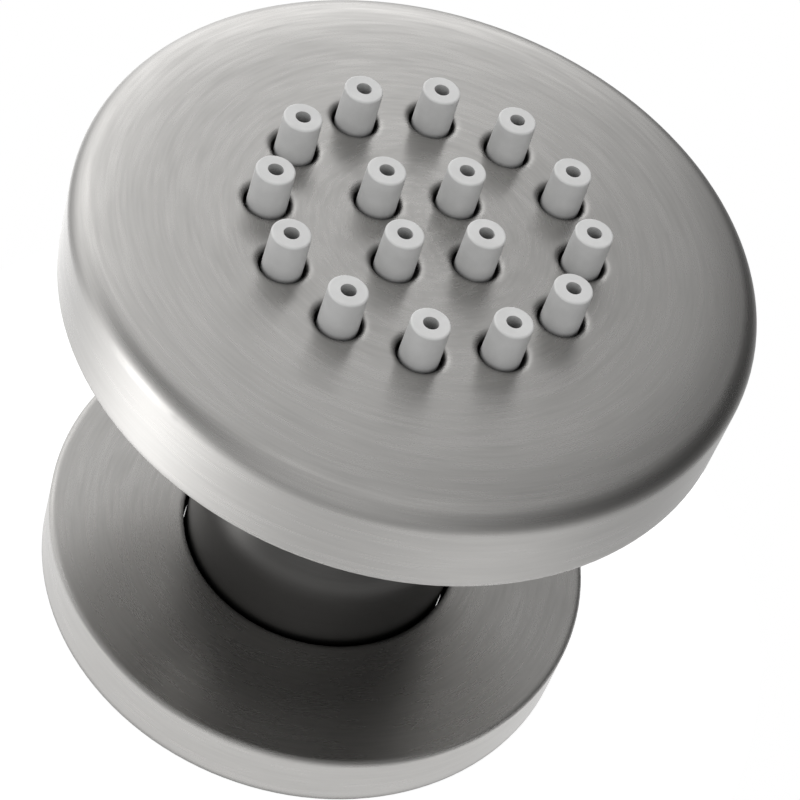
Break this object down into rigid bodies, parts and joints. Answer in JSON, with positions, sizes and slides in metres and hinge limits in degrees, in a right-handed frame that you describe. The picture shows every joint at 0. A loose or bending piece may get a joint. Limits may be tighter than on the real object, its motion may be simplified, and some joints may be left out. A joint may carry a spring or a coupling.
{
  "type": "shower body jet",
  "caption": "Round wall body jet: flat disc spray head with soft nozzles, tilting and turning on a ball swivel above a round sliding wall flange.",
  "frame": {"origin": "centre of the wall plane, on the spray axis, at the back of the wall flange and of the connector", "axes": "+Z along the spray axis, away from the wall; X and Y run through the nozzles of the inner circle"},
  "size_m": [0.0636, 0.0636, 0.056],
  "materials": {
    "brushed_nickel": "nickel plate brushed in circles",
    "satin_nickel": "dark satin nickel plate, turned",
    "nozzle_silicone": "matt light grey silicone",
    "black_rubber": "smooth black rubber",
    "white_plastic": "white low-friction plastic",
    "grey_plastic": "moulded grey plastic",
    "steel": "plain stainless steel"
  },
  "bodies": {
    "connector": {"swivel_connector": "satin_nickel", "inlet_washer": "black_rubber", "filter_screen": "steel", "flow_regulator": "grey_plastic", "regulator_ring": "black_rubber", "regulator_seal": "black_rubber"},
    "flange": {"wall_flange": "brushed_nickel", "flange_o_ring": "black_rubber"},
    "liner": {"ball_liner": "white_plastic"},
    "seat": {"ball_seal": "white_plastic", "seat_o_ring": "black_rubber"},
    "head": {"collar_nut": "satin_nickel", "back_cover": "satin_nickel", "chamber_o_ring": "black_rubber", "face_shell": "brushed_nickel", "nozzle_mat": "nozzle_silicone", "backing_plate": "grey_plastic", "plate_screws": "steel"}
  },
  "joints": [
    {"name": "flange_slide", "type": "slide", "parent": "connector", "child": "flange", "axis": [0, 0, 1], "range_m": [0, 0.007]},
    {"name": "tilt_x", "type": "hinge", "parent": "connector", "child": "liner", "pos_m": [0, 0, 0.031], "axis": [1, 0, 0], "range_deg": [-12, 12]},
    {"name": "tilt_y", "type": "hinge", "parent": "liner", "child": "seat", "pos_m": [0, 0, 0.031], "axis": [0, 1, 0], "range_deg": [-12, 12]},
    {"name": "head_spin", "type": "hinge", "parent": "seat", "child": "head", "pos_m": [0, 0, 0.031], "axis": [0, 0, 1], "continuous": true}
  ]
}
